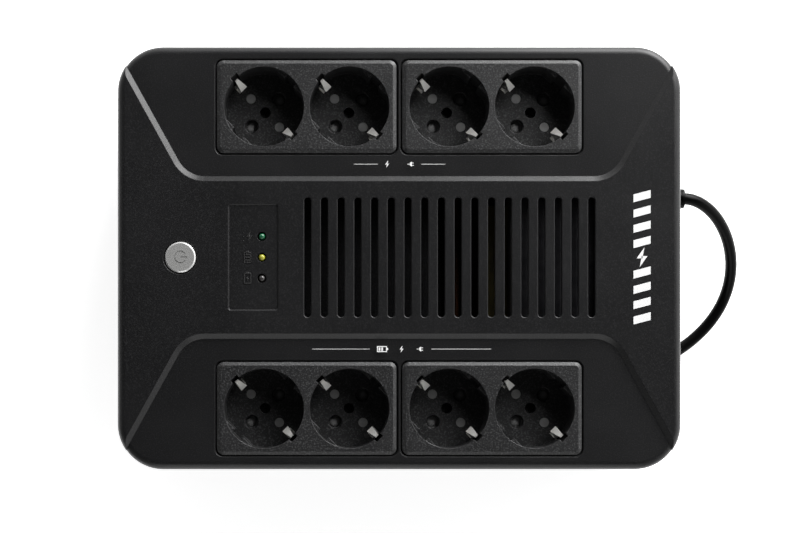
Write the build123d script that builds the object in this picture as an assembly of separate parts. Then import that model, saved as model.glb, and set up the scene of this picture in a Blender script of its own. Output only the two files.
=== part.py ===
from build123d import *
import math
import os

# Uninterruptible power supply with eight CEE 7/3 outlets. Sizes are in millimetres.
# The origin lies on the surface it stands on, under the middle of the case.
# +X runs along the case toward the mains cord, +Y toward the back row of outlets, +Z up.

# Case
CASE_X = 275.4  # at the split line, where both halves are widest
CASE_Y = 207.4
CORNER_R = 22.7
WALL = 2.5
DRAFT = 1.0  # degrees, each half narrows away from the split line
FOOT_H = 8.0  # the underside is this far above the ground
SPLIT_Z = 47.0
TOP_Z = 92.0
EDGE_R = 4.0  # rounding along the top edge
FLOOR_TOP = FOOT_H + WALL

# The two outlet areas lie lower than the waist between them, behind a bevel
AREA_Z = TOP_Z - 2.0
ROOF_Z = AREA_Z - WALL  # underside of the cover over the outlet areas
WAIST_ROOF_Z = TOP_Z - WALL  # underside of the cover over the waist
WAIST_Y = 39.5
WAIST_HALF_X = 103.0
WAIST_SLOPE = 61.0  # degrees, flanks of the outlet areas
WAIST_R = 14.6
BEVEL_ANGLE = 52.0  # from upright
LIP = 0.4  # bevel around the openings in the cover

# Outlets
ROW_Y = 73.3
PLATE_X = 45.0  # middle of a double plate
WELL_X = 20.75  # well from the middle of its plate
PLATE_W = 87.2
PLATE_D = 45.1
PLATE_R = 3.3
PLATE_GAP = 0.7
PLATE_Z = AREA_Z + 0.9
WELL_R = 19.4
WELL_FLOOR_Z = PLATE_Z - 17.5
SLAB_Z = WELL_FLOOR_Z - 3.0  # underside of the well floor
BASE_Z = 54.5  # underside of the outlet base
BASE_W = 84.0
BASE_D = 42.0
BASE_FLOOR_Z = BASE_Z + 2.0
PIN_X = 9.5  # half of the 19 mm pin pitch
PIN_HOLE_R = 2.9
RIVET_Y = 9.94
CLIP_Y = 21.0  # outer end of an earth clip slot
CLIP_SLOT_HALF = 2.1
POST_TOP_Z = SLAB_Z - 3.9
HUB_R = 3.5
EAR_Z = (84.0, 85.4)  # ears that are screwed to the cover
PIN_OFFSET = PIN_X * math.sin(math.radians(45))  # of a pin from its well along x and along y

# Waist
VENT_COUNT = 18
VENT_PITCH = 8.1
VENT_FIRST_X = -44.5
VENT_SIZE = (58.1, 3.3)
LAMP_X = -66.7
LAMP_PITCH = 10.16
LAMP_PANEL_X = -70.9
LAMP_PANEL = (23.8, 51.1)
PANEL_DEPTH = 0.6
BUTTON_X = -106.2
BUTTON_R = 7.4
BUTTON_WELL_R = 8.05
BUTTON_TOP_Z = TOP_Z + 0.6
FLANGE_R = 9.3
CONTROL_Z = 78.0  # underside of the control board
CONTROL_TOP = CONTROL_Z + 1.6

# Underside
FOOT_X = 112.0
FOOT_Y = 82.0
FOOT_R = 12.0
SCREW_X = 127.0
SCREW_Y = 66.0
KEYHOLE_X = 75.0
KEYHOLE_Y = 72.0
KEYHOLE_R = 4.2
KEYHOLE_NECK_R = 2.2
DOOR_END_X = 21.0
DOOR_HALF_Y = 51.7  # flat part seen from below
TONGUE_HALF_Y = 54.2  # tongues that run in the rails
BAY_HALF_Y = 50.8
RAIL_Z = FLOOR_TOP + 0.2

# Inside
BATTERY = (151.0, 94.0, 65.0)
BATTERY_X = -56.0
BATTERY_Y = -3.0
BATTERY_Z = FLOOR_TOP + 0.2
TRANSFORMER_X = 78.0
CORE = (46.0, 84.0, 70.0)
CORE_Z = 12.5
BOARD_Z = 18.0
BOARD_TOP = BOARD_Z + 1.6
BOARD_Y = 77.5
CORD_Y = 34.0
CORD_R = 3.0
BREAKER_Y = -44.0
BREAKER_Z = 34.0

ROWS = (-1, 1)
SIDES = (-1, 1)
WELLS = [(row, side * PLATE_X + step * WELL_X) for row in ROWS for side in SIDES for step in SIDES]
CORNERS = [(sx, sy) for sx in SIDES for sy in SIDES]


# ---------------------------------------------------------------- small shapes


def block(x0, x1, y0, y1, z0, z1):
    """Box given by its limits."""
    middle = Pos((x0 + x1) / 2, (y0 + y1) / 2, (z0 + z1) / 2)
    return middle * Box(x1 - x0, y1 - y0, z1 - z0)


def rod(x, y, z0, z1, r):
    """Upright cylinder."""
    return Pos(x, y, (z0 + z1) / 2) * Cylinder(r, z1 - z0)


def ring(x, y, z0, z1, outer_r, inner_r):
    """Upright tube."""
    return rod(x, y, z0, z1, outer_r) - rod(x, y, z0 - 1, z1 + 1, inner_r)


def slab(width, depth, z0, z1, r):
    """Upright prism with a rounded rectangular outline about the z axis."""
    return extrude(Pos(0, 0, z0) * RectangleRounded(width, depth, r), z1 - z0)


def lying_rod(x0, x1, y, z, r):
    """Cylinder along x."""
    return Pos((x0 + x1) / 2, y, z) * Rot(0, 90, 0) * Cylinder(r, x1 - x0)


def wire(points, r, bend):
    """Round wire along straight runs joined by bends."""
    path = FilletPolyline(*points, radius=bend)
    return sweep(Plane(origin=path @ 0, z_dir=path % 0) * Circle(r), path=path)


def screw(x, y, seat_z, shank, r, head_r, head_h, up):
    """Cross-head screw whose head rests at seat_z. Up means the shank points up."""
    way = 1 if up else -1
    body = rod(x, y, min(seat_z, seat_z + way * shank), max(seat_z, seat_z + way * shank), r)
    head = rod(x, y, min(seat_z, seat_z - way * head_h), max(seat_z, seat_z - way * head_h), head_r)
    deep = head_h * 0.6
    face_z = seat_z - way * head_h
    cross_z = face_z + way * deep / 2
    long, thin = head_r * 1.3, head_r * 0.3
    cross = Pos(x, y, cross_z) * (Box(long, thin, deep) + Box(thin, long, deep))
    return body + head - cross


def coil(x, y, z0, z1, mean_r, wire_r, turns):
    """Open coil spring whose wire stays between z0 and z1."""
    height = z1 - z0 - 2 * wire_r
    path = Helix(height / turns, height, mean_r, center=(x, y, z0 + wire_r))
    return sweep(Plane(origin=path @ 0, z_dir=path % 0) * Circle(wire_r), path=path)


def well_frame(row, x):
    """Frame of one well: pins lie along its x axis and earth clips along its y axis."""
    return Pos(x, row * ROW_Y, 0) * Rot(0, 0, 45)


def save(name, *shapes):
    """Write the solids of the given shapes as one node."""
    solids = [solid for shape in shapes for solid in shape.solids()]
    export_step(Compound(solids), f"parts/{name}.step")
    print(name, len(solids))


# ---------------------------------------------------------------- case


def half_shell(inset, end_z):
    """Half of the case from the split line to end_z, inset from the outside."""
    up = 1 if end_z > SPLIT_Z else -1
    start = Plane(origin=(0, 0, SPLIT_Z), z_dir=(0, 0, up))
    outline = RectangleRounded(CASE_X - 2 * inset, CASE_Y - 2 * inset, CORNER_R - inset)
    return extrude(start * outline, abs(end_z - SPLIT_Z), taper=DRAFT)


def seam_cut():
    """Shadow groove around the outside where the two halves meet."""
    span = (SPLIT_Z - 0.3, SPLIT_Z + 0.3)
    return slab(CASE_X + 2, CASE_Y + 2, *span, CORNER_R) - slab(CASE_X - 1, CASE_Y - 1, *span, CORNER_R - 0.5)


def cover_skin(top_z):
    """Outside of the upper half with its top edge rounded."""
    skin = half_shell(0, top_z)
    return fillet(skin.faces().sort_by(Axis.Z)[-1].edges(), EDGE_R)


def outlet_area_cut(row):
    """Space that the raised waist leaves to one outlet area, bounded by bevelled flanks."""
    far_y = CASE_Y * 0.7
    spread = (far_y - WAIST_Y) / math.tan(math.radians(WAIST_SLOPE))
    points = [
        (-WAIST_HALF_X, WAIST_Y),
        (WAIST_HALF_X, WAIST_Y),
        (WAIST_HALF_X + spread, far_y),
        (-WAIST_HALF_X - spread, far_y),
    ]
    outline = Polygon(*points, align=None)
    outline = fillet(outline.vertices().group_by(Axis.Y)[0], WAIST_R)
    cut = extrude(Pos(0, 0, AREA_Z) * outline, TOP_Z - AREA_Z + 1, taper=-BEVEL_ANGLE)
    cut += extrude(Pos(0, 0, AREA_Z - 2 * EDGE_R) * outline, 2 * EDGE_R)
    return cut if row > 0 else Rot(0, 0, 180) * cut


def vent_cuts():
    """Row of long slots across the waist."""
    slot = Pos(0, 0, WAIST_ROOF_Z - 3) * Rot(0, 0, 90) * SlotOverall(*VENT_SIZE)
    cut = extrude(slot, 10)
    return [Pos(VENT_FIRST_X + i * VENT_PITCH, 0, 0) * cut for i in range(VENT_COUNT)]


def lip_cut(outline, z):
    """Bevel around the upper edge of an opening with this outline in a face at height z."""
    return extrude(Pos(0, 0, z - LIP) * outline, LIP + 0.6, taper=-45)


def cover_cuts():
    """Everything cut out of the cover, apart from the vents."""
    opening = RectangleRounded(PLATE_W + 2 * PLATE_GAP, PLATE_D + 2 * PLATE_GAP, PLATE_R + PLATE_GAP / 2)
    window = extrude(Pos(0, 0, ROOF_Z - 1) * opening, TOP_Z - ROOF_Z + 2) + lip_cut(opening, AREA_Z)
    cuts = [Pos(side * PLATE_X, row * ROW_Y, 0) * window for row in ROWS for side in SIDES]
    panel = RectangleRounded(LAMP_PANEL[0] - LIP, LAMP_PANEL[1] - LIP, 1)
    cuts.append(extrude(Pos(LAMP_PANEL_X, 0, TOP_Z - PANEL_DEPTH) * panel, PANEL_DEPTH + 1, taper=-40))
    cuts += [rod(LAMP_X, i * LAMP_PITCH, WAIST_ROOF_Z - 3, TOP_Z + 1, 2.2) for i in (-1, 0, 1)]
    cuts.append(rod(BUTTON_X, 0, ROOF_Z - 3, TOP_Z + 1, BUTTON_WELL_R))
    cuts.append(Pos(BUTTON_X, 0, 0) * lip_cut(Circle(BUTTON_WELL_R), TOP_Z))
    cuts.append(block(-100, 100, -34, 34, ROOF_Z - 0.1, WAIST_ROOF_Z))
    return cuts


def cover_posts():
    """Bosses, the button guide and the ribs that hold the battery down."""
    posts = []
    for sx, sy in CORNERS:
        boss = rod(sx * SCREW_X, sy * SCREW_Y, SPLIT_Z, ROOF_Z + 0.1, 4) - rod(
            sx * SCREW_X, sy * SCREW_Y, SPLIT_Z - 1, 62, 1.5
        )
        posts.append(boss)
    for x, y in control_post_places():
        posts.append(rod(x, y, CONTROL_TOP, WAIST_ROOF_Z + 0.1, 2.8) - rod(x, y, CONTROL_TOP - 1, 85, 1.2))
    for x, y in module_screw_places():
        posts.append(rod(x, y, EAR_Z[1], ROOF_Z + 0.1, 3) - rod(x, y, EAR_Z[0], ROOF_Z + 1.1, 1.2))
    posts.append(ring(BUTTON_X, 0, 80.5, ROOF_Z + 0.1, FLANGE_R + 1.6, FLANGE_R + 0.05))
    posts += [block(-50, 15, sy * 35.5 - 0.9, sy * 35.5 + 0.9, 76.2, ROOF_Z + 0.1) for sy in SIDES]
    return posts


def top_cover():
    """Upper half of the case."""
    raised = cover_skin(TOP_Z)
    for row in ROWS:
        raised -= outlet_area_cut(row)
    cover = raised + cover_skin(AREA_Z)
    cover -= half_shell(WALL, ROOF_Z)
    cover -= cover_cuts()
    cover = round_vents(cover - vent_cuts())
    cover += cover_posts()
    cover -= extrude(
        Pos(0, 0, SPLIT_Z) * RectangleRounded(CASE_X - 2.4, CASE_Y - 2.4, CORNER_R - 1.2), 2.2
    ) - half_shell(WALL + 0.1, SPLIT_Z + 3)
    cover -= seam_cut()
    cover -= lying_rod(CASE_X / 2 - 6, CASE_X / 2 + 5, CORD_Y, SPLIT_Z, 5.6)
    return cover


def round_vents(cover):
    """Soften the upper edges of the vents."""
    top = cover.edges().filter_by_position(Axis.Z, TOP_Z - 0.01, TOP_Z + 0.01)
    half = VENT_SIZE[0] / 2 + 0.1
    last_x = VENT_FIRST_X + (VENT_COUNT - 1) * VENT_PITCH
    inside = top.filter_by_position(Axis.Y, -half, half)
    edges = inside.filter_by_position(Axis.X, VENT_FIRST_X - 2, last_x + 2)
    return fillet(edges, 0.5)


def keyhole_cut(x):
    """Keyhole for hanging the case on a wall: a round entry and a neck toward the back."""
    entry = rod(x, KEYHOLE_Y, FOOT_H - 1, FLOOR_TOP + 1, KEYHOLE_R)
    neck = block(x - KEYHOLE_NECK_R, x + KEYHOLE_NECK_R, KEYHOLE_Y, KEYHOLE_Y + 8, FOOT_H - 1, FLOOR_TOP + 1)
    end = rod(x, KEYHOLE_Y + 8, FOOT_H - 1, FLOOR_TOP + 1, KEYHOLE_NECK_R)
    return entry + neck + end


def bay_cut():
    """Opening under the battery with a groove on each side for the door."""
    far_x = -CASE_X
    lip = block(far_x, DOOR_END_X + 0.3, -DOOR_HALF_Y - 0.3, DOOR_HALF_Y + 0.3, 0, FOOT_H + 1.2)
    groove = block(far_x, DOOR_END_X + 0.3, -TONGUE_HALF_Y - 0.3, TONGUE_HALF_Y + 0.3, FOOT_H + 1.2, RAIL_Z)
    return lip + groove


def bay_rails():
    """Ledges over the door grooves and the rib behind the battery."""
    x0 = -CASE_X / 2 + WALL
    rails = [block(x0, 24, BAY_HALF_Y, TONGUE_HALF_Y + 3, RAIL_Z, RAIL_Z + 1.8)]
    rails.append(block(x0, 24, -TONGUE_HALF_Y - 3, -BAY_HALF_Y, RAIL_Z, RAIL_Z + 1.8))
    rails.append(block(22, 24, -TONGUE_HALF_Y, TONGUE_HALF_Y, FLOOR_TOP - 0.1, 40))
    return rails


def floor_posts():
    """Bosses for the case screws, the main board and the transformer."""
    posts = [rod(sx * SCREW_X, sy * SCREW_Y, FLOOR_TOP - 0.1, SPLIT_Z, 4.6) for sx, sy in CORNERS]
    for x, y in board_screw_places():
        posts.append(rod(x, y, FLOOR_TOP - 0.1, BOARD_Z, 3) - rod(x, y, 11.5, BOARD_Z + 1, 1.25))
    for x, y in frame_screw_places():
        posts.append(rod(x, y, FLOOR_TOP - 0.1, CORE_Z, 5) - rod(x, y, 9.5, CORE_Z + 1, 1.7))
    x0, x1 = TRANSFORMER_X - 20, TRANSFORMER_X + 20
    posts += [block(x0, x1, y - 3, y + 3, FLOOR_TOP - 0.1, CORE_Z) for y in (-25, 0, 25)]
    return posts


def side_vents():
    """Upright slots low in both end walls."""
    slot = Rot(0, 90, 0) * SlotOverall(20, 3)
    cuts = []
    for side, count in ((-1, 10), (1, 5)):
        for i in range(count):
            y = (i - (count - 1) / 2) * 8.0
            cuts.append(extrude(Pos(side * CASE_X / 2, y, 29) * slot, 6, both=True))
    return cuts


def bottom_case():
    """Lower half of the case."""
    case = half_shell(0, FOOT_H)
    case = fillet(case.faces().sort_by(Axis.Z)[0].edges(), 2.5)
    case -= half_shell(WALL, FLOOR_TOP)
    lip = Pos(0, 0, SPLIT_Z - 1) * RectangleRounded(CASE_X - 2.8, CASE_Y - 2.8, CORNER_R - 1.4)
    hollow = Pos(0, 0, SPLIT_Z - 1) * RectangleRounded(CASE_X - 5, CASE_Y - 5, CORNER_R - WALL)
    case += extrude(lip, 3) - extrude(hollow, 3)
    case -= bay_cut()
    case += bay_rails()
    case += floor_posts()
    case -= [rod(sx * SCREW_X, sy * SCREW_Y, 0, 36, 3.4) for sx, sy in CORNERS]
    case -= [rod(sx * SCREW_X, sy * SCREW_Y, 0, SPLIT_Z + 5, 1.8) for sx, sy in CORNERS]
    case -= [rod(sx * FOOT_X, sy * FOOT_Y, 0, 20, 3) for sx, sy in CORNERS]
    case -= [keyhole_cut(side * KEYHOLE_X) for side in SIDES]
    case -= side_vents()
    case -= seam_cut()
    case -= lying_rod(CASE_X / 2 - 6, CASE_X / 2 + 5, CORD_Y, SPLIT_Z, 5.6)
    case -= lying_rod(CASE_X / 2 - 6, CASE_X / 2 + 5, BREAKER_Y, BREAKER_Z, 6)
    return case


def battery_door():
    """Door under the battery: a T section cut from the same outside as the case."""
    outside = half_shell(0, FOOT_H)
    outside = fillet(outside.faces().sort_by(Axis.Z)[0].edges(), 2.5)
    flat = block(-CASE_X, DOOR_END_X, -DOOR_HALF_Y, DOOR_HALF_Y, FOOT_H, FOOT_H + 1.3)
    tongues = block(-CASE_X, DOOR_END_X, -TONGUE_HALF_Y, TONGUE_HALF_Y, FOOT_H + 1.3, FLOOR_TOP)
    door = outside & (flat + tongues)
    for i in range(8):
        x = -126 + i * 3.5
        door += block(x, x + 1.4, -22, 22, FOOT_H - 0.8, FOOT_H + 0.1)
    return door


def case_screws():
    return [screw(sx * SCREW_X, sy * SCREW_Y, 36, 24, 1.5, 3.2, 2.4, True) for sx, sy in CORNERS]


def rubber_feet():
    """Tapered feet with a stud that plugs into the floor."""
    feet = []
    for sx, sy in CORNERS:
        pad = Pos(sx * FOOT_X, sy * FOOT_Y, FOOT_H / 2) * Cone(FOOT_R - 1.5, FOOT_R, FOOT_H)
        pad = fillet(pad.edges().sort_by(Axis.Z)[0], 1)
        pad -= rod(sx * FOOT_X, sy * FOOT_Y, -1, 1, 4)
        feet.append(pad + rod(sx * FOOT_X, sy * FOOT_Y, FOOT_H, FLOOR_TOP + 1.5, 3))
    return feet


# ---------------------------------------------------------------- outlets


def clip_housing():
    """Walls around the earth clip slots of one well, in the frame of the well."""
    top_z = PLATE_Z - 2.3
    return [block(-4.2, 4.2, min(sy * 14, sy * 23), max(sy * 14, sy * 23), SLAB_Z, top_z) for sy in SIDES]


def well_cuts():
    """Well, clip slots, pin holes, rivet seats and middle hole of one outlet."""
    well = rod(0, 0, WELL_FLOOR_Z, PLATE_Z + 1, WELL_R)
    for sx in SIDES:
        for sy in SIDES:
            x0, x1 = sorted((sx * 17.2, sx * 21))
            y0, y1 = sorted((sy * 3, sy * 9.6))
            well -= block(x0, x1, y0, y1, WELL_FLOOR_Z, PLATE_Z - 1.8)
    cuts = [well, rod(0, 0, SLAB_Z - 1, WELL_FLOOR_Z + 1, 2.65)]
    for side in SIDES:
        y0, y1 = sorted((side * 15.6, side * CLIP_Y))
        cuts.append(block(-CLIP_SLOT_HALF, CLIP_SLOT_HALF, y0, y1, SLAB_Z - 1, PLATE_Z + 1))
        cuts.append(rod(side * PIN_X, 0, SLAB_Z - 1, WELL_FLOOR_Z + 1, PIN_HOLE_R))
        cuts.append(Pos(side * PIN_X, 0, WELL_FLOOR_Z - 0.35) * Cone(PIN_HOLE_R, 3.5, 0.7))
        cuts.append(rod(0, side * RIVET_Y, WELL_FLOOR_Z - 0.8, WELL_FLOOR_Z + 1, 2.6))
        cuts.append(rod(0, side * RIVET_Y, SLAB_Z - 1, WELL_FLOOR_Z, 1.2))
    return cuts


def plate_shell():
    """Face, skirt, retaining flange and well floor of a double plate about its own middle."""
    face = slab(PLATE_W, PLATE_D, PLATE_Z - 2.3, PLATE_Z, PLATE_R)
    face = chamfer(face.faces().sort_by(Axis.Z)[-1].edges(), 0.9, 1.7)
    skirt = slab(PLATE_W, PLATE_D, 82, PLATE_Z - 2.3, PLATE_R)
    skirt -= slab(PLATE_W - 3.6, PLATE_D - 3.6, 81, PLATE_Z - 2.3, PLATE_R - 1.8)
    flange = slab(PLATE_W + 2.6, PLATE_D + 3.2, 85.2, ROOF_Z - 0.1, PLATE_R)
    flange -= slab(PLATE_W - 3.6, PLATE_D - 3.6, 81, PLATE_Z - 2.3, PLATE_R - 1.8)
    floor = block(-BASE_W / 2, BASE_W / 2, -BASE_D / 2, BASE_D / 2, SLAB_Z, WELL_FLOOR_Z)
    return face + skirt + flange + floor


def outlet_plate(row, side):
    """Double plate with two wells and the ears that hold it under the cover."""
    plate = Pos(side * PLATE_X, row * ROW_Y, 0) * plate_shell()
    frames = [well_frame(row, side * PLATE_X + step * WELL_X) for step in SIDES]
    for frame in frames:
        plate += frame * rod(0, 0, SLAB_Z, PLATE_Z - 2.2, WELL_R + 1.8)
        plate += [frame * wall for wall in clip_housing()]
        plate += frame * rod(0, 0, POST_TOP_Z, SLAB_Z, HUB_R)
    for x, y in module_screw_places():
        if row * y > 0 and side * x > 0:
            edge_y = row * (ROW_Y - PLATE_D / 2 + 1)
            plate += block(x - 4, x + 4, min(y, edge_y), max(y, edge_y), *EAR_Z)
            plate += rod(x, y, *EAR_Z, 4)
            plate -= rod(x, y, 80, 86, 1.6)
    for frame in frames:
        plate -= [frame * cut for cut in well_cuts()]
        plate -= frame * rod(0, 0, POST_TOP_Z + 1, SLAB_Z + 1, 2.65)
        plate -= frame * rod(0, 0, POST_TOP_Z - 1, SLAB_Z, 1.6)
    return plate


def outlet_base(row, side):
    """Tray under a double plate with a screw post under each well."""
    base = block(-BASE_W / 2, BASE_W / 2, -BASE_D / 2, BASE_D / 2, BASE_Z, SLAB_Z)
    inner_x = BASE_W / 2 - 1.8
    inner_y = BASE_D / 2 - 1.8
    base -= block(-inner_x, inner_x, -inner_y, inner_y, BASE_FLOOR_Z, SLAB_Z + 1)
    base -= block(-BASE_W, BASE_W, -16, 16, SLAB_Z - 1, SLAB_Z + 1)
    for sy in SIDES:
        y = sy * PIN_OFFSET
        base -= block(-BASE_W, BASE_W, y - 2.6, y + 2.6, BASE_FLOOR_Z, BASE_FLOOR_Z + 1)
    for step in SIDES:
        base += rod(step * WELL_X, 0, BASE_FLOOR_Z - 0.1, POST_TOP_Z, 4)
        base -= rod(step * WELL_X, 0, BASE_FLOOR_Z + 0.5, POST_TOP_Z + 1, 1.5)
    return Pos(side * PLATE_X, row * ROW_Y, 0) * base


def clip_blade(side):
    """Springy blade of one earth clip in the frame of its well."""
    top_z = PLATE_Z - 3.6
    bends = [(13.0, SLAB_Z - 0.8), (19.6, SLAB_Z - 0.8), (19.6, 76), (15.1, 82), (19.3, top_z)]
    inner = [(18.5, top_z), (14.1, 82), (18.8, 76), (18.8, SLAB_Z), (13.0, SLAB_Z)]
    profile = Plane.YZ * Polygon(*bends, *inner, align=None)
    outline = [(-1.8, 60), (1.8, 60), (1.8, 82.5), (0.9, top_z), (-0.9, top_z), (-1.8, 82.5)]
    front = Plane.XZ * Polygon(*outline, align=None)
    blade = extrude(profile, 2.5, both=True) & extrude(front, 30, both=True)
    return blade if side > 0 else Rot(0, 0, 180) * blade


def earth_strip(row):
    """Earth clips of one row: a strip across each well with a blade at each end, joined by links."""
    z0 = SLAB_Z - 0.8
    places = sorted(x for well_row, x in WELLS if well_row == row)
    strip = []
    for x in places:
        local = block(-2.5, 2.5, -19, 19, z0, SLAB_Z) + rod(0, 0, z0, SLAB_Z, 6)
        local -= rod(0, 0, z0 - 1, SLAB_Z + 1, HUB_R + 0.15)
        local -= [rod(0, sy * RIVET_Y, z0 - 1, SLAB_Z + 1, 1.2) for sy in SIDES]
        local += [clip_blade(side) for side in SIDES]
        strip.append(well_frame(row, x) * local)
    reach = 17 * math.sin(math.radians(45))
    for left, right in zip(places, places[1:]):
        dx = right - left - 2 * reach
        dy = 2 * reach
        length = math.hypot(dx, dy) + 4
        turn = math.degrees(math.atan2(dy, dx))
        middle = Pos((left + right) / 2, row * ROW_Y, z0 + 0.4)
        strip.append(middle * Rot(0, 0, turn) * Box(length, 4.4, 0.8))
    return strip[0].fuse(*strip[1:])


def busbar(row, pin_side):
    """Bar along one row with a split contact sleeve under each pin hole."""
    offset = PIN_OFFSET * pin_side
    y = row * ROW_Y + offset
    z = BASE_FLOOR_Z
    bar = block(-93, 80, y - 2.4, y + 2.4, z, z + 0.8)
    for well_row, x in WELLS:
        if well_row != row:
            continue
        sleeve = ring(x + offset, y, z + 0.7, POST_TOP_Z - 0.3, 3.3, 2.45)
        slit = Pos(x + offset, y, z + 7) * Rot(0, 0, 45) * Box(0.8, 10, 8)
        bar += sleeve - slit
    return bar


def wedge(half_angle, r):
    """Upright triangular prism about the x axis that opens by twice half_angle."""
    far = 2 * r
    rise = far * math.tan(math.radians(half_angle))
    return extrude(Polygon((0, 0), (far, -rise), (far, rise), align=None), 100)


def shutter(row, x):
    """Turning shutter: a hub under the well floor and two lobes whose domes close the pin holes.

    Each dome stands a little to one side of its pin, so that the pin pushes the shutter round.
    """
    z0 = POST_TOP_Z + 0.2
    fan = wedge(20, 14)
    body = rod(0, 0, z0, SLAB_Z - 1.7, 13.3) & (fan + Rot(0, 0, 180) * fan)
    dome_r = 3.9
    dome_y = -0.5
    dome = Pos(PIN_X, dome_y, SLAB_Z - 0.3 - dome_r) * Sphere(dome_r)
    dome &= rod(PIN_X, dome_y, z0, SLAB_Z, 2.75)
    body += [dome, Rot(0, 0, 180) * dome, rod(0, 0, z0, z0 + 1.6, 5.2)]
    body -= rod(0, 0, z0 - 1, SLAB_Z + 1, HUB_R + 0.05)
    return well_frame(row, x) * body


def shutter_springs():
    return [coil(x, row * ROW_Y, 60, POST_TOP_Z - 0.4, 4.6, 0.25, 4) for row, x in WELLS]


def clip_rivets():
    """Rivets that hold each earth clip to its well floor."""
    rivets = []
    for row, x in WELLS:
        for side in SIDES:
            head = rod(0, side * RIVET_Y, WELL_FLOOR_Z - 0.8, WELL_FLOOR_Z - 0.1, 2.3)
            shank = rod(0, side * RIVET_Y, SLAB_Z - 1.4, WELL_FLOOR_Z - 0.8, 1.2)
            tail = rod(0, side * RIVET_Y, SLAB_Z - 1.6, SLAB_Z - 0.8, 1.8)
            rivets.append(well_frame(row, x) * (head + shank + tail))
    return rivets


def socket_screws():
    return [screw(x, row * ROW_Y, POST_TOP_Z + 1, 9, 1.5, 2.5, 1.7, False) for row, x in WELLS]


def module_screw_places():
    return [(sx * (PLATE_X + step * 33), sy * 46) for sx, sy in CORNERS for step in SIDES]


def module_screws():
    return [screw(x, y, EAR_Z[0], 3.4, 1.2, 2.6, 1.6, True) for x, y in module_screw_places()]


# ---------------------------------------------------------------- controls


def power_button():
    """Round key with a bevelled rim, a retaining flange and the engraved standby sign."""
    cap = rod(BUTTON_X, 0, ROOF_Z - 0.1, BUTTON_TOP_Z, BUTTON_R)
    cap = chamfer(cap.faces().sort_by(Axis.Z)[-1].edges(), 0.6)
    cap += rod(BUTTON_X, 0, ROOF_Z - 2, ROOF_Z - 0.1, FLANGE_R)
    cap -= rod(BUTTON_X, 0, 85, 86, 2)
    sign = ring(0, 0, BUTTON_TOP_Z - 0.25, BUTTON_TOP_Z + 1, 3.1, 2.5)
    sign -= Pos(0, 0, BUTTON_TOP_Z - 3) * wedge(35, 5)
    sign += block(0, 3.4, -0.3, 0.3, BUTTON_TOP_Z - 0.25, BUTTON_TOP_Z + 1)
    return cap - Pos(BUTTON_X, 0, 0) * sign


def power_switch():
    """Latching push switch on the control board."""
    body = block(BUTTON_X - 4, BUTTON_X + 4, -4, 4, CONTROL_TOP, CONTROL_TOP + 3.9)
    return body - rod(BUTTON_X, 0, CONTROL_TOP + 1, CONTROL_TOP + 6, 2)


def switch_plunger():
    return rod(BUTTON_X, 0, 82.6, 86, 1.95)


def button_spring():
    return coil(BUTTON_X, 0, CONTROL_TOP, ROOF_Z - 2, 7.4, 0.3, 4)


def lamp(y):
    """Domed 3 mm lamp with its two leads."""
    dome_z = TOP_Z - 1.3
    body = rod(LAMP_X, y, 86.6, dome_z, 1.5) + Pos(LAMP_X, y, dome_z) * Sphere(1.5)
    body += rod(LAMP_X, y, 86.6, 87.6, 1.9)
    leads = [Pos(LAMP_X + d, y, (CONTROL_TOP + 86.6) / 2) * Box(0.5, 0.5, 86.6 - CONTROL_TOP) for d in (-1, 1)]
    return body.fuse(*leads)


def control_post_places():
    return [(x, y) for x in (-112.5, -60.5) for y in (-24, 24)]


def control_board():
    """Board under the lamps and the button, held by four posts of the cover."""
    board = block(-117, -56.5, -28, 28, CONTROL_Z, CONTROL_TOP)
    board -= [rod(x, y, CONTROL_Z - 1, CONTROL_TOP + 1, 1.4) for x, y in control_post_places()]
    chip = block(-88, -78, -8, 2, CONTROL_TOP, CONTROL_TOP + 1.4)
    crystal = block(-88, -78, 8, 12, CONTROL_TOP, CONTROL_TOP + 3)
    return board + chip + crystal


def control_screws():
    return [screw(x, y, CONTROL_Z, 5.5, 1.2, 2.2, 1.2, True) for x, y in control_post_places()]


def buzzer():
    """Round sounder with a hole in its top."""
    can = rod(-90, -19, CONTROL_TOP, CONTROL_TOP + 7, 6)
    return can - rod(-90, -19, CONTROL_TOP + 4, CONTROL_TOP + 8, 1)


def ribbon_cable():
    """Flat cable from the control board down to the main board."""
    x = -98
    top_z = CONTROL_Z + 1
    points = [(x, 28, top_z), (x, 53.5, top_z), (x, 53.5, 40), (x, 63, 30), (x, 63, BOARD_TOP + 0.6)]
    path = FilletPolyline(*points, radius=3)
    section = Plane(origin=path @ 0, x_dir=(1, 0, 0), z_dir=path % 0) * Rectangle(12, 0.9)
    return sweep(section, path=path)


# ---------------------------------------------------------------- power electronics


def board_screw_places():
    return [(x, y) for x in (-108, 0, 108) for y in (61.5, 94)]


def main_board():
    """Power board lying under the back row of outlets."""
    board = block(-112, 112, BOARD_Y - 19.5, BOARD_Y + 19.5, BOARD_Z, BOARD_TOP)
    board -= [rod(x, y, BOARD_Z - 1, BOARD_TOP + 1, 1.6) for x, y in board_screw_places()]
    board += block(-105, -91, 61.2, 64.8, BOARD_TOP, BOARD_TOP + 2.4)
    board -= block(-104, -92, 62.55, 63.45, BOARD_TOP + 0.6, BOARD_TOP + 3)
    return board


def board_screws():
    return [screw(x, y, BOARD_TOP, 7, 1.25, 2.6, 1.8, False) for x, y in board_screw_places()]


def heat_sink(x):
    """Finned extrusion standing on the board."""
    sink = block(x, x + 62, 84, 87, BOARD_TOP, BOARD_TOP + 30)
    for i in range(10):
        fin_z = BOARD_TOP + 0.9 + i * 3.0
        sink += block(x, x + 62, 86.9, 92, fin_z, fin_z + 1.2)
    return sink


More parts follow.
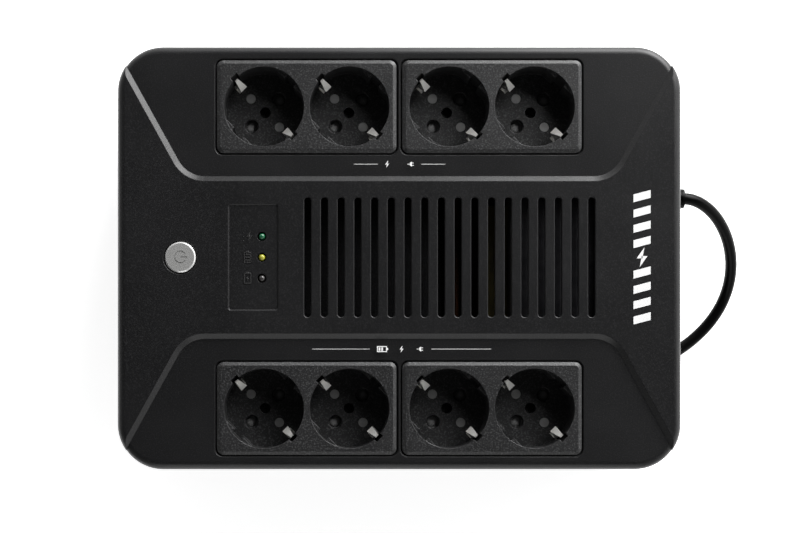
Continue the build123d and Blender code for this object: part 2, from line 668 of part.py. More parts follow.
def power_transistors():
    """Flat-pack transistors clamped to the front of the heat sinks."""
    parts = []
    for x in (-78, -60, -42, 22, 40, 58):
        tab = block(x, x + 10, 82.7, 84, BOARD_TOP + 6, BOARD_TOP + 21) - (
            Pos(x + 5, 83.4, BOARD_TOP + 18) * Rot(90, 0, 0) * Cylinder(1.8, 3)
        )
        body = block(x, x + 10, 79.5, 82.7, BOARD_TOP + 6, BOARD_TOP + 15)
        legs = [block(x + d, x + d + 0.8, 80.8, 81.3, BOARD_TOP, BOARD_TOP + 6) for d in (1.6, 4.6, 7.6)]
        parts.append((tab + body).fuse(*legs))
    return parts


def relays():
    return [
        fillet(block(x, x + 12.8, 62, 91, BOARD_TOP, BOARD_TOP + 16).edges().filter_by(Axis.Z), 0.8)
        for x in (80, -17)
    ]


def capacitors():
    """Electrolytic cans with a pressed groove and a vent cross on top."""
    cans = []
    for x in (-72, -52, 16, 50, 68):
        top_z = BOARD_TOP + 26
        can = fillet(rod(x, 68.5, BOARD_TOP, top_z, 8).edges(), 0.8)
        can -= ring(x, 68.5, BOARD_TOP + 3, BOARD_TOP + 3.8, 9, 7.6)
        can -= Pos(x, 68.5, top_z) * (Box(9, 0.5, 0.4) + Box(0.5, 9, 0.4))
        cans.append(can)
    return cans


def line_choke():
    """Upright toroid with a copper winding, on the board."""
    middle = Pos(99.5, 84, BOARD_TOP + 14) * Rot(0, 90, 0)
    return [middle * Torus(10, 3.4)]


def varistors():
    """Blue surge discs standing on two legs."""
    discs = []
    for y in (63, 68):
        disc = Pos(99.5, y, BOARD_TOP + 11) * Rot(90, 0, 0) * Cylinder(6, 3)
        legs = [Pos(99.5 + d, y, BOARD_TOP + 3) * Box(0.7, 0.7, 6) for d in (-3, 3)]
        discs.append(disc.fuse(*legs))
    return discs


def battery_fuse():
    """Blade fuse in its holder."""
    holder = block(-92, -82, 74, 92, BOARD_TOP, BOARD_TOP + 9)
    holder -= block(-90.2, -83.8, 75.5, 90.5, BOARD_TOP + 3, BOARD_TOP + 10)
    return holder + block(-89.5, -84.5, 76, 90, BOARD_TOP + 2.9, BOARD_TOP + 14)


def transformer_core():
    """Stack of E and I laminations standing on the floor ribs."""
    x, y, z = CORE
    core = block(-x / 2, x / 2, -y / 2, y / 2, CORE_Z, CORE_Z + z)
    for side in SIDES:
        y0, y1 = sorted((side * y / 6, side * y / 3))
        core -= block(-x, x, y0, y1, CORE_Z + y / 6, CORE_Z + z - y / 6)
    return Pos(TRANSFORMER_X, 0, 0) * core


def transformer_windings():
    """Bobbin and winding around the middle leg."""
    x, y, z = CORE
    inner_z = CORE_Z + y / 6 + 0.3
    outer_z = CORE_Z + z - y / 6 - 0.3
    coil_body = slab(x + 26, y * 2 / 3 - 0.6, inner_z + 2, outer_z - 2, 8)
    for z0, z1 in ((inner_z, inner_z + 2), (outer_z - 2, outer_z)):
        coil_body += slab(x + 28, y * 2 / 3 - 0.4, z0, z1, 3)
    coil_body -= block(-x / 2 - 0.2, x / 2 + 0.2, -y / 6 - 0.2, y / 6 + 0.2, 0, TOP_Z)
    return Pos(TRANSFORMER_X, 0, 0) * coil_body


def frame_screw_places():
    return [(TRANSFORMER_X + sx * 12, sy * 50) for sx, sy in CORNERS]


def transformer_frame():
    """Steel strap over the core with screw feet."""
    x, y, z = CORE
    half = y / 2
    top = CORE_Z + z
    strap = block(-18, 18, -half - 1.2, half + 1.2, CORE_Z, top + 1.2) - block(-19, 19, -half, half, 0, top)
    for side in SIDES:
        y0, y1 = sorted((side * half, side * (half + 14)))
        strap += block(-18, 18, y0, y1, CORE_Z, CORE_Z + 1.2)
    strap -= [rod(sx * 12, sy * 50, 10, 20, 2) for sx, sy in CORNERS]
    return Pos(TRANSFORMER_X, 0, 0) * strap


def transformer_screws():
    return [screw(x, y, CORE_Z + 1.2, 2.9, 1.7, 3.4, 2.2, False) for x, y in frame_screw_places()]


# ---------------------------------------------------------------- battery and wiring


def battery():
    """Sealed lead battery lying on its side, its lid toward the back."""
    x, y, z = BATTERY
    back = BATTERY_Y + y / 2
    case = block(BATTERY_X - x / 2, BATTERY_X + x / 2, BATTERY_Y - y / 2, back, BATTERY_Z, BATTERY_Z + z)
    case = fillet(case.edges().filter_by(Axis.Y), 2)
    seam = block(-200, 200, back - 14, back - 13.2, 0, 100)
    seam -= block(
        BATTERY_X - x / 2 + 0.5, BATTERY_X + x / 2 - 0.5, 0, 100, BATTERY_Z + 0.5, BATTERY_Z + z - 0.5
    )
    return case - seam


def terminal_places():
    return [BATTERY_X - 60, BATTERY_X + 60]


def battery_terminals():
    """Flat push-on tabs, 6.35 mm wide."""
    back = BATTERY_Y + BATTERY[1] / 2
    return [block(x - 0.4, x + 0.4, back, back + 5.8, 40, 46.35) for x in terminal_places()]


def battery_lead(x, board_x):
    """Push-on sleeve on one tab and a thick lead to the main board."""
    back = BATTERY_Y + BATTERY[1] / 2
    sleeve = block(x - 2, x + 2, back + 0.6, back + 9, 39, 47.4)
    sleeve -= block(x - 0.4, x + 0.4, back, back + 5.8, 40, 46.35)
    path = [(x, back + 8.5, 43), (x, 59, 43), (board_x, 70, 43), (board_x, 70, BOARD_TOP)]
    return sleeve + wire(path, 1.7, 3)


def feed_wires(side):
    """Wires from the main board to the busbars of both rows, live on side 1 and neutral on side -1."""
    back_y = ROW_Y + side * PIN_OFFSET
    board_y = 71 + 1.5 * side
    x = -91.5
    back = [(x, back_y, BASE_FLOOR_Z), (x, back_y, 50), (x, board_y, 44), (x, board_y, BOARD_TOP)]
    front_y = -ROW_Y + side * PIN_OFFSET
    x = 33 - 2 * side
    front = [(x, 60, BOARD_TOP), (x, 60, 50), (x, front_y, 50), (0, front_y, 50), (0, front_y, BASE_FLOOR_Z)]
    return [wire(back, 1.2, 1), wire(front, 1.2, 3)]


def live_wires():
    """Cord core to the breaker, breaker to the main board, main board to the busbars."""
    y = CORD_Y + 1.6
    core = [(118, y, SPLIT_Z), (108, y, SPLIT_Z), (108, y, 18), (104.5, -40, 18), (104.5, -40, 24.8)]
    low_z = BOARD_Z - 3
    over_z = BOARD_TOP + 4.4
    switched = [
        (104.5, -48, 24.8),
        (104.5, -48, low_z),
        (110.5, 53, low_z),
        (110.5, 53, over_z),
        (106, 74, over_z),
        (106, 74, BOARD_TOP),
    ]
    return [wire(core, 0.9, 2), wire(switched, 0.9, 2), *feed_wires(1)]


def neutral_wires():
    """Cord core to the main board, main board to the busbars."""
    y = CORD_Y - 1.5
    z = SPLIT_Z + 1.2
    core = [(118, y, z), (104, y, z), (104, 50, z - 1.2), (104, 75, 40), (104, 75, BOARD_TOP)]
    return [wire(core, 0.9, 2), *feed_wires(-1)]


def earth_wire():
    """Cord core to the earth strip of the back row."""
    y = CORD_Y - 1.3
    z = SPLIT_Z - 1.4
    under_core = [(118, y, z), (113, y, z), (113, CORD_Y + 5, z - 4)]
    return wire([*under_core, (113, 60, 50), (112, 66, 60), (100, 66, 66), (89.5, 66, 66)], 0.9, 2)


def mains_cord():
    """Sheathed cord: straight through the wall, down to the ground and back under the case."""
    start = (118, CORD_Y, SPLIT_Z)
    outside = (148, CORD_Y, SPLIT_Z)
    landing = (156, -41.5, CORD_R)
    toward = Vector(-0.829, -0.559, 0)
    path = Line(start, outside)
    path += Bezier(outside, (171, CORD_Y, SPLIT_Z), Vector(*landing) - toward * 54, landing)
    path += Spline(landing, (112, -61.5, CORD_R), (78, -65, CORD_R), tangents=[toward, (-1, 0, 0)])
    return sweep(Plane(origin=start, z_dir=(1, 0, 0)) * Circle(CORD_R), path=path)


def cord_grommet():
    """Strain relief that both case halves pinch around the cord."""
    wall_x = CASE_X / 2
    inner_x = wall_x - WALL - 0.2
    body = lying_rod(inner_x - 2.3, inner_x, CORD_Y, SPLIT_Z, 8)
    body += lying_rod(inner_x, wall_x, CORD_Y, SPLIT_Z, 5.6)
    body += lying_rod(wall_x, wall_x + 2.2, CORD_Y, SPLIT_Z, 7)
    body += Pos(wall_x + 6, CORD_Y, SPLIT_Z) * Rot(0, 90, 0) * Cone(5.6, 4.9, 8)
    for i in range(3):
        x = wall_x + 3.4 + 2.2 * i
        body -= lying_rod(x, x + 1, CORD_Y, SPLIT_Z, 8) - lying_rod(x - 1, x + 2, CORD_Y, SPLIT_Z, 4.5)
    return body - lying_rod(wall_x - 20, wall_x + 20, CORD_Y, SPLIT_Z, CORD_R)


def breaker_body():
    """Thermal breaker in the end wall with its threaded neck and nut."""
    wall_x = CASE_X / 2
    inner_x = wall_x - WALL - 0.6
    body = block(inner_x - 27, inner_x, BREAKER_Y - 7, BREAKER_Y + 7, BREAKER_Z - 12, BREAKER_Z + 12)
    body += lying_rod(inner_x, wall_x + 3, BREAKER_Y, BREAKER_Z, 5.6)
    nut = lying_rod(wall_x, wall_x + 2, BREAKER_Y, BREAKER_Z, 8)
    body += nut
    for dy in (-4, 4):
        y = BREAKER_Y + dy
        body += block(inner_x - 33, inner_x - 27, y - 0.4, y + 0.4, BREAKER_Z - 9.2, BREAKER_Z - 2.8)
    return body - lying_rod(inner_x - 6, wall_x + 8, BREAKER_Y, BREAKER_Z, 3.6)


def breaker_button():
    """Push-to-reset key of the breaker."""
    wall_x = CASE_X / 2
    key = lying_rod(wall_x - 6, wall_x + 5, BREAKER_Y, BREAKER_Z, 3.5)
    return chamfer(key.faces().sort_by(Axis.X)[-1].edges(), 0.5)


# ---------------------------------------------------------------- all nodes


def main():
    os.makedirs("parts", exist_ok=True)
    save("bottom_case", bottom_case())
    save("top_cover", top_cover())
    save("battery_door", battery_door())
    save("case_screws", *case_screws())
    save("rubber_feet", *rubber_feet())
    names = {(-1, -1): "front_left", (-1, 1): "front_right", (1, -1): "back_left", (1, 1): "back_right"}
    for (row, side), name in names.items():
        save(f"outlet_plate_{name}", outlet_plate(row, side))
    save("outlet_bases", *[outlet_base(row, side) for row, side in names])
    save("earth_clips", *[earth_strip(row) for row in ROWS])
    save("live_busbars", *[busbar(row, 1) for row in ROWS])
    save("neutral_busbars", *[busbar(row, -1) for row in ROWS])
    for number, (row, x) in enumerate(WELLS, 1):
        save(f"shutter_{number}", shutter(row, x))
    save("shutter_springs", *shutter_springs())
    save("clip_rivets", *clip_rivets())
    save("socket_screws", *socket_screws())
    save("module_screws", *module_screws())
    save("power_button", power_button())
    save("switch_plunger", switch_plunger())
    save("power_switch", power_switch())
    save("button_spring", button_spring())
    save("lamp_green", lamp(LAMP_PITCH))
    save("lamp_yellow", lamp(0))
    save("lamp_red", lamp(-LAMP_PITCH))
    save("control_board", control_board())
    save("control_screws", *control_screws())
    save("buzzer", buzzer())
    save("ribbon_cable", ribbon_cable())
    save("main_board", main_board())
    save("board_screws", *board_screws())
    save("heat_sinks", heat_sink(-82), heat_sink(12))
    save("power_transistors", *power_transistors())
    save("relays", *relays())
    save("capacitors", *capacitors())
    save("line_choke", *line_choke())
    save("varistors", *varistors())
    save("battery_fuse", battery_fuse())
    save("transformer_core", transformer_core())
    save("transformer_windings", transformer_windings())
    save("transformer_frame", transformer_frame())
    save("transformer_screws", *transformer_screws())
    save("battery", battery())
    save("battery_terminals", *battery_terminals())
    for colour, x, board_x in zip(("black", "red"), terminal_places(), (-103, -21)):
        save(f"battery_lead_{colour}", battery_lead(x, board_x))
    save("live_wires", *live_wires())
    save("neutral_wires", *neutral_wires())
    save("earth_wire", earth_wire())
    save("mains_cord", mains_cord())
    save("cord_grommet", cord_grommet())
    save("breaker_body", breaker_body())
    save("breaker_button", breaker_button())


main()
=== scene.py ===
import bpy
import math
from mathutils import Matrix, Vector


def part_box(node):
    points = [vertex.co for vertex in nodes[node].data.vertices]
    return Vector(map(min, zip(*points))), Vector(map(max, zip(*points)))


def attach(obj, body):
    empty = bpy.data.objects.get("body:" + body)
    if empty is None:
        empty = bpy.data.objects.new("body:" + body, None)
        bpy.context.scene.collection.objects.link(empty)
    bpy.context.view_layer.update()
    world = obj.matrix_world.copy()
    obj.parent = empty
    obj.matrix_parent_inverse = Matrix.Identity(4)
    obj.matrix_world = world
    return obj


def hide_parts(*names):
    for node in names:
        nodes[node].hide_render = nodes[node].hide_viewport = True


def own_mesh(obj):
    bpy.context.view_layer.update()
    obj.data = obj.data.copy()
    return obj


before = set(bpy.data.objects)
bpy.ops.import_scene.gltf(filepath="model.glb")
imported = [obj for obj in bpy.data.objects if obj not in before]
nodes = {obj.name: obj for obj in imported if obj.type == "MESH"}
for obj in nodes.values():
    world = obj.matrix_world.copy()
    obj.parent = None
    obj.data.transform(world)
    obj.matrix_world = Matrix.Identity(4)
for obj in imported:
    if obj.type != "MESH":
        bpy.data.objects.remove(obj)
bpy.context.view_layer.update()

# All sizes are in metres
TOP_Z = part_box("top_cover")[1].z
PANEL_Z = TOP_Z - 0.0006  # floor of the recess around the lamps
PRINT_H = 0.00006
SIGN_H = 0.00025
BACK_LABEL_Y = 0.0451
FRONT_LABEL_Y = -0.0445
RULE_HALF = 0.0001  # half of the width of the lines beside the labels
MOTIF_X = (0.1134, 0.1217)
SIGN_X = -0.0737
SIGN_SIZE = 0.0052
CAMERA_PLACE = (-0.0361, -0.0692, 0.862)
FILM_SHIFT = {"shift_x": 0.09375, "shift_y": 0.1669}


# ---------------------------------------------------------------- shader helpers


def graph(name):
    """A new material, its node tree and its main shader."""
    material = bpy.data.materials.new(name)
    material.use_nodes = True
    tree = material.node_tree
    return material, tree, tree.nodes["Principled BSDF"]


def add(tree, kind, inputs=None, **settings):
    """Add a node, set its settings, then link or fill its inputs."""
    node = tree.nodes.new(kind)
    for key, value in settings.items():
        setattr(node, key, value)
    for key, value in (inputs or {}).items():
        plug(tree, node.inputs[key], value)
    return node


def plug(tree, socket, value):
    """Link an output to a socket, or set the socket to a plain value."""
    if isinstance(value, bpy.types.NodeSocket):
        tree.links.new(value, socket)
    else:
        socket.default_value = value


def place(tree, scale=(1, 1, 1)):
    """Object coordinates, stretched."""
    coordinates = add(tree, "ShaderNodeTexCoord")
    mapping = add(tree, "ShaderNodeMapping", {"Vector": coordinates.outputs["Object"], "Scale": scale})
    return mapping.outputs["Vector"]


def noise(tree, scale, detail=3.0, roughness=0.55, stretch=(1, 1, 1)):
    """Noise factor; the scale is in cells per metre."""
    texture = add(
        tree,
        "ShaderNodeTexNoise",
        {"Vector": place(tree, stretch), "Scale": scale, "Detail": detail, "Roughness": roughness},
    )
    return texture.outputs["Fac"]


def stripes(tree, axis, per_metre, distortion=0.0):
    """Bands across one axis."""
    texture = add(
        tree,
        "ShaderNodeTexWave",
        {"Vector": place(tree), "Scale": per_metre / 10, "Distortion": distortion, "Detail": 2.0},
        bands_direction=axis,
    )
    return texture.outputs["Fac"]


def fit(tree, value, low, high, to_low, to_high):
    """Value moved from one range to another and clamped."""
    node = add(
        tree,
        "ShaderNodeMapRange",
        {"Value": value, "From Min": low, "From Max": high, "To Min": to_low, "To Max": to_high},
    )
    return node.outputs["Result"]


def blend(tree, factor, first, second):
    """Colour mix."""
    node = add(tree, "ShaderNodeMix", data_type="RGBA")
    plug(tree, node.inputs[0], factor)
    plug(tree, node.inputs[6], first if isinstance(first, bpy.types.NodeSocket) else (*first, 1))
    plug(tree, node.inputs[7], second if isinstance(second, bpy.types.NodeSocket) else (*second, 1))
    return node.outputs[2]


def maths(tree, operation, first, second=0.0, third=0.0):
    """Result of one sum, with up to three terms."""
    node = add(tree, "ShaderNodeMath", {0: first, 1: second, 2: third}, operation=operation)
    return node.outputs[0]


def arrows(tree, operation, first, second=(0, 0, 0)):
    """Sum with vectors."""
    return add(tree, "ShaderNodeVectorMath", {0: first, 1: second}, operation=operation)


def middle(node):
    """Middle of a CAD node."""
    low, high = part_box(node)
    return (low + high) / 2


def times(colour, factor, plus=0.0):
    """Colour made lighter or darker."""
    return [min(1, part * factor + plus) for part in colour]


def bump(tree, shader, height, strength, distance, edge_radius=0.0):
    """Small relief on the surface, over edges that are softened by edge_radius metres."""
    node = add(tree, "ShaderNodeBump", {"Height": height, "Strength": strength, "Distance": distance})
    if edge_radius:
        soft = add(tree, "ShaderNodeBevel", {"Radius": edge_radius}, samples=4)
        tree.links.new(soft.outputs["Normal"], node.inputs["Normal"])
    tree.links.new(node.outputs["Normal"], shader.inputs["Normal"])


# ---------------------------------------------------------------- materials


def moulded(name, colour, rough, grain=0.35, glint_strength=0.5, cell=2000, shine=0.5):
    """Moulded plastic: eroded grain, painted glints as pale flecks on the grain peaks, slow unevenness in
    tone and gloss.
    """
    material, tree, shader = graph(name)
    fine = noise(tree, cell, 2.0, 0.6)
    coarse = noise(tree, 30, 3.0)
    tone = blend(tree, fit(tree, coarse, 0.3, 0.7, 0, 1), times(colour, 0.9), times(colour, 1.1))
    # Painted glints: pale flecks where the grain stands highest, in place of the light that the texture
    # catches.
    glint_mask = fit(tree, fine, 0.5, 0.7, 0, glint_strength)
    plug(tree, shader.inputs["Base Color"], blend(tree, glint_mask, tone, times(colour, 3, 0.05)))
    plug(tree, shader.inputs["Roughness"], fit(tree, coarse, 0.3, 0.7, rough - 0.02, rough + 0.02))
    shader.inputs["Specular IOR Level"].default_value = shine
    bump(tree, shader, fine, grain, 0.0001, 0.0004)
    return material


def metal(
    name, colour, rough, scratch=(1, 1, 1), worn=0.7, relief=0.25, spread=0.08, metallic=1.0
):
    """Bare metal with fine scratches, tarnish in patches and uneven gloss."""
    material, tree, shader = graph(name)
    lines = noise(tree, 1400, 3.0, 0.6, scratch)
    patches = noise(tree, 160, 4.0)
    tarnish = blend(tree, fit(tree, patches, 0.35, 0.7, 0, 1), colour, times(colour, worn))
    plug(tree, shader.inputs["Base Color"], tarnish)
    shader.inputs["Metallic"].default_value = metallic
    plug(tree, shader.inputs["Roughness"], fit(tree, lines, 0.3, 0.7, rough - spread, rough + spread))
    bump(tree, shader, lines, relief, 0.00003)
    return material


def rubber():
    """Matte rubber with dust caught in its grain."""
    material, tree, shader = graph("foot rubber")
    grain = noise(tree, 1200, 4.0)
    dust = noise(tree, 90, 5.0, 0.7)
    colour = blend(tree, fit(tree, dust, 0.5, 0.8, 0, 0.5), (0.018, 0.018, 0.018), (0.09, 0.085, 0.08))
    plug(tree, shader.inputs["Base Color"], colour)
    plug(tree, shader.inputs["Roughness"], fit(tree, grain, 0.3, 0.7, 0.75, 0.95))
    bump(tree, shader, grain, 0.4, 0.00015)
    return material


def glossy_sheath(name, colour, rough=0.3, shine=0.5):
    """Extruded PVC: long shallow waves from the extruder and faint smears."""
    material, tree, shader = graph(name)
    wave = noise(tree, 60, 2.0)
    smear = noise(tree, 900, 3.0)
    plug(tree, shader.inputs["Base Color"], blend(tree, smear, times(colour, 0.8), times(colour, 1.2)))
    plug(tree, shader.inputs["Roughness"], fit(tree, smear, 0.35, 0.7, rough - 0.03, rough + 0.05))
    shader.inputs["Specular IOR Level"].default_value = shine
    bump(tree, shader, wave, 0.15, 0.0003)
    return material


def lamp_lens(name, colour):
    """Tinted lamp with a paler, cloudy core."""
    material, tree, shader = graph(name)
    cloud = noise(tree, 700, 2.0)
    plug(tree, shader.inputs["Base Color"], blend(tree, cloud, colour, times(colour, 1.6, 0.01)))
    plug(tree, shader.inputs["Roughness"], fit(tree, cloud, 0.3, 0.7, 0.12, 0.22))
    shader.inputs["Transmission Weight"].default_value = 0.25
    shader.inputs["Coat Weight"].default_value = 0.5
    bump(tree, shader, cloud, 0.1, 0.00005)
    return material


def circuit_board():
    """Solder mask over copper tracks, with tinned pads."""
    material, tree, shader = graph("circuit board")
    tracks = add(
        tree,
        "ShaderNodeTexBrick",
        {"Vector": place(tree), "Scale": 90.0, "Mortar Size": 0.03, "Mortar Smooth": 0.2},
        offset=0.37,
    )
    pads = add(tree, "ShaderNodeTexVoronoi", {"Vector": place(tree), "Scale": 260.0})
    mask = blend(tree, tracks.outputs["Fac"], (0.006, 0.055, 0.02), (0.02, 0.14, 0.05))
    pad = fit(tree, pads.outputs["Distance"], 0.12, 0.16, 1, 0)
    plug(tree, shader.inputs["Base Color"], blend(tree, pad, mask, (0.6, 0.6, 0.55)))
    plug(tree, shader.inputs["Roughness"], fit(tree, noise(tree, 300), 0.3, 0.7, 0.25, 0.45))
    bump(tree, shader, tracks.outputs["Fac"], 0.3, 0.0001)
    return material


def banded(name, axis, per_metre, first, second, rough, metallic=0.0):
    """Layers or strands side by side: laminations, windings, ribbon cable, sleeves."""
    material, tree, shader = graph(name)
    bands = stripes(tree, axis, per_metre, 0.15)
    stain = noise(tree, 120, 4.0)
    colour = blend(tree, fit(tree, bands, 0.35, 0.65, 0, 1), first, second)
    colour = blend(tree, fit(tree, stain, 0.5, 0.8, 0, 0.5), colour, times(first, 0.4))
    plug(tree, shader.inputs["Base Color"], colour)
    shader.inputs["Metallic"].default_value = metallic
    plug(tree, shader.inputs["Roughness"], fit(tree, stain, 0.3, 0.7, rough - 0.08, rough + 0.08))
    bump(tree, shader, bands, 0.5, 0.0002)
    return material


def print_ink(name, colour):
    """Pad-printed ink, thin at its grain so that the plastic shows through."""
    material, tree, shader = graph(name)
    wear = noise(tree, 3000, 3.0)
    thin = fit(tree, wear, 0.55, 0.8, 0, 0.6)
    plug(tree, shader.inputs["Base Color"], blend(tree, thin, colour, times(colour, 0.5)))
    plug(tree, shader.inputs["Roughness"], fit(tree, wear, 0.3, 0.7, 0.45, 0.65))
    bump(tree, shader, wear, 0.2, 0.00002)
    return material


def button_paint():
    """Satin silver paint on the key, with a painted highlight on its bevelled rim: a paler colour there."""
    material, tree, shader = graph("silver key")
    offset = arrows(tree, "SUBTRACT", place(tree), middle("power_button")).outputs["Vector"]
    flat = arrows(tree, "MULTIPLY", offset, (1, 1, 0)).outputs["Vector"]
    radius = arrows(tree, "LENGTH", flat).outputs["Value"]
    highlit_rim = fit(tree, radius, 0.0066, 0.0068, 0, 1)
    flakes = noise(tree, 4200, 2.0, 0.7)
    face = blend(tree, fit(tree, flakes, 0.35, 0.7, 0, 1), (0.3, 0.3, 0.295), (0.48, 0.48, 0.47))
    # Painted highlight: the bevelled rim gets a paler silver than the face.
    plug(tree, shader.inputs["Base Color"], blend(tree, highlit_rim, face, (0.75, 0.75, 0.74)))
    shader.inputs["Metallic"].default_value = 0.5
    plug(tree, shader.inputs["Roughness"], fit(tree, highlit_rim, 0, 1, 0.42, 0.2))
    bump(tree, shader, flakes, 0.12, 0.00003)
    return material


MATERIALS = {
    "case": moulded("case plastic", (0.0075, 0.0075, 0.008), 0.34, 0.4, 0.2, 1700, 0.36),
    "plate": moulded("outlet plastic", (0.008, 0.008, 0.0085), 0.42, 0.9, 0.75, 1300),
    "base": moulded("outlet base plastic", (0.05, 0.05, 0.05), 0.55),
    "shutter": moulded("shutter plastic", (0.3, 0.3, 0.3), 0.25, 0.1, 0.1),
    "component": moulded("component resin", (0.02, 0.02, 0.02), 0.5, 0.3, 0.3, 1800),
    "switch": moulded("pale nylon", (0.5, 0.49, 0.46), 0.45, 0.2, 0.2),
    "relay": moulded("blue resin", (0.02, 0.08, 0.3), 0.35, 0.2, 0.3),
    "battery": moulded("battery case", (0.008, 0.008, 0.009), 0.55, 0.5, 0.2, 1500, 0.2),
    "rubber": rubber(),
    "zinc": metal("zinc plated steel", (0.6, 0.6, 0.58), 0.35),
    "spring": metal("spring steel", (0.5, 0.5, 0.5), 0.3),
    "nickel": metal("nickel plated clip", (0.95, 0.94, 0.9), 0.3, (1, 1, 0.02), 0.92, 0.01, 0.02, 0.6),
    "blackened": metal("blackened screw", (0.03, 0.03, 0.03), 0.5),
    "rivet": metal("dull rivet", (0.36, 0.36, 0.355), 0.4, metallic=0.6),
    "brass": metal("brass strip", (0.78, 0.6, 0.3), 0.3),
    "aluminium": metal("mill aluminium", (0.75, 0.75, 0.76), 0.4, (0.05, 1, 1)),
    "tin": metal("tinned tab", (0.62, 0.62, 0.63), 0.35),
    "lens_green": lamp_lens("green lamp", (0.004, 0.1, 0.04)),
    "lens_yellow": lamp_lens("yellow lamp", (0.36, 0.35, 0.03)),
    "lens_red": lamp_lens("clear red lamp", (0.03, 0.027, 0.027)),
    "board": circuit_board(),
    "button": button_paint(),
    "ribbon": banded("ribbon cable", "X", 790, (0.3, 0.3, 0.3), (0.5, 0.5, 0.5), 0.45),
    "can": banded("capacitor sleeve", "Z", 120, (0.01, 0.012, 0.05), (0.03, 0.035, 0.1), 0.3),
    "choke": banded("enamelled copper", "Y", 900, (0.35, 0.12, 0.04), (0.6, 0.25, 0.1), 0.3, 0.9),
    "core": banded("varnished laminations", "X", 1000, (0.025, 0.025, 0.028), (0.07, 0.07, 0.075), 0.5, 0.6),
    "winding": banded("taped winding", "Z", 60, (0.03, 0.024, 0.008), (0.07, 0.055, 0.012), 0.4),
    "frame_steel": metal("blued strap", (0.12, 0.12, 0.13), 0.4),
    "cord": glossy_sheath("black sheath", (0.003, 0.003, 0.003), 0.2, 0.08),
    "red": glossy_sheath("red lead", (0.3, 0.012, 0.01)),
    "brown": glossy_sheath("brown wire", (0.1, 0.035, 0.012)),
    "blue": glossy_sheath("blue wire", (0.01, 0.06, 0.3)),
    "green": banded("green and yellow wire", "Y", 150, (0.03, 0.2, 0.02), (0.6, 0.5, 0.02), 0.4),
    "ink": print_ink("pale ink", (0.8, 0.8, 0.8)),
    "sign": moulded("sign plastic", (0.02, 0.02, 0.02), 0.3, 0.15, 0.2),
}

FINISHES = {
    "case": ["bottom_case", "top_cover", "battery_door"],
    "plate": [n for n in nodes if n.startswith("outlet_plate")],
    "base": ["outlet_bases"],
    "shutter": [f"shutter_{i}" for i in range(1, 9)],
    "component": ["power_switch", "buzzer", "power_transistors", "breaker_body"],
    "switch": ["switch_plunger", "breaker_button", "battery_fuse"],
    "relay": ["relays", "varistors"],
    "battery": ["battery"],
    "rubber": ["rubber_feet"],
    "zinc": ["case_screws", "module_screws", "control_screws", "board_screws", "transformer_screws"],
    "blackened": ["socket_screws"],
    "spring": ["shutter_springs", "button_spring"],
    "nickel": ["earth_clips"],
    "rivet": ["clip_rivets"],
    "brass": ["live_busbars", "neutral_busbars"],
    "aluminium": ["heat_sinks"],
    "tin": ["battery_terminals"],
    "lens_green": ["lamp_green"],
    "lens_yellow": ["lamp_yellow"],
    "lens_red": ["lamp_red"],
    "board": ["control_board", "main_board"],
    "button": ["power_button"],
    "ribbon": ["ribbon_cable"],
    "can": ["capacitors"],
    "choke": ["line_choke"],
    "core": ["transformer_core"],
    "winding": ["transformer_windings"],
    "frame_steel": ["transformer_frame"],
    "cord": ["mains_cord", "cord_grommet", "battery_lead_black"],
    "red": ["battery_lead_red"],
    "brown": ["live_wires"],
    "blue": ["neutral_wires"],
    "green": ["earth_wire"],
}


def paint_nodes():
    """Give every node its finish."""
    for finish, names in FINISHES.items():
        for name in names:
            mesh = nodes[name].data
            mesh.materials.clear()
            mesh.materials.append(MATERIALS[finish])


def working_spring():
    """Copy of the button spring, fixed to the case, in place of the rigid one, which is hidden."""
    rest = nodes["button_spring"]
    piece = bpy.data.objects.new("button_spring_at_work", rest.data.copy())
    bpy.context.scene.collection.objects.link(piece)
    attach(piece, "case")
    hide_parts("button_spring")
    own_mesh(piece)


# ---------------------------------------------------------------- print on the top


def flat_piece(name, outlines, z, material, height=PRINT_H):
    """Thin prisms with the given outlines, lying at height z on the cover."""
    vertices, faces = [], []
    for outline in outlines:
        start, count = len(vertices), len(outline)
        for level in (z, z + height):
            vertices += [(x, y, level) for x, y in outline]
        faces.append([start + i for i in reversed(range(count))])
        faces.append([start + count + i for i in range(count)])
        for i in range(count):
            after = (i + 1) % count
            faces.append([start + i, start + after, start + count + after, start + count + i])
    mesh = bpy.data.meshes.new(name)
    mesh.from_pydata(vertices, [], faces)
    mesh.materials.append(MATERIALS[material])
    piece = bpy.data.objects.new(name, mesh)
    bpy.context.scene.collection.objects.link(piece)
    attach(piece, "case")
    return piece


def bar(x0, x1, y0, y1):
    """Rectangle given by its limits."""
    return [(x0, y0), (x1, y0), (x1, y1), (x0, y1)]


def rule(x0, x1, y):
    """Line beside a label."""
    return bar(x0, x1, y - RULE_HALF, y + RULE_HALF)


def charge(x, y, half_w, half_h):
    """One bar of charge inside a battery sign."""
    return bar(x - half_w, x + half_w, y - half_h, y + half_h)


def frame_bars(x0, x1, y0, y1, line):
    """Outline of a rectangle as four bars."""
    return [
        bar(x0, x1, y0, y0 + line),
        bar(x0, x1, y1 - line, y1),
        bar(x0, x0 + line, y0 + line, y1 - line),
        bar(x1 - line, x1, y0 + line, y1 - line),
    ]


def bolt(x, y, size):
    """Charge sign: a zigzag in two prisms."""
    upper = [(0.12, 0.5), (-0.28, -0.06), (0.02, -0.06)]
    lower = [(-0.12, -0.5), (0.28, 0.06), (-0.02, 0.06)]
    return [[(x + a * size, y + b * size) for a, b in part] for part in (upper, lower)]


def battery_sign(x, y, size):
    """Battery outline with its pole and two bars of charge."""
    w, h = size, size * 0.6
    line = size * 0.09
    shapes = frame_bars(x - w / 2, x + w / 2, y - h / 2, y + h / 2, line)
    shapes.append(bar(x + w / 2, x + w / 2 + line * 1.3, y - h / 5, y + h / 5))
    return shapes + [charge(x + w * step, y, w * 0.09, h * 0.28) for step in (-0.25, 0.02)]


